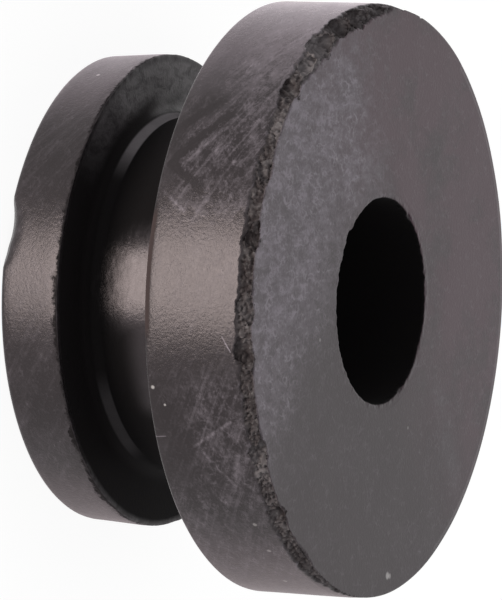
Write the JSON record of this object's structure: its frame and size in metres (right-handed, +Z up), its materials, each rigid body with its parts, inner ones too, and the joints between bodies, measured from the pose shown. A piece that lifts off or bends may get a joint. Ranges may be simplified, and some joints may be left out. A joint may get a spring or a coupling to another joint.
{
  "type": "anti-vibration cap",
  "caption": "Round black rubber cap with a thick flange, a thinner lip, a groove between them that snaps into a panel, and a bore down the middle.",
  "frame": {"origin": "centre of the lip's end face, on which the cap stands", "axes": "+Z up the bore, from the thin lip to the thick flange; -Y towards the side that the picture shows"},
  "size_m": [0.024, 0.024, 0.0124],
  "materials": {
    "rubber": "matt moulded black rubber, dusty and lightly scuffed"
  },
  "bodies": {
    "root": {"rubber_cap": "rubber"}
  },
  "joints": []
}
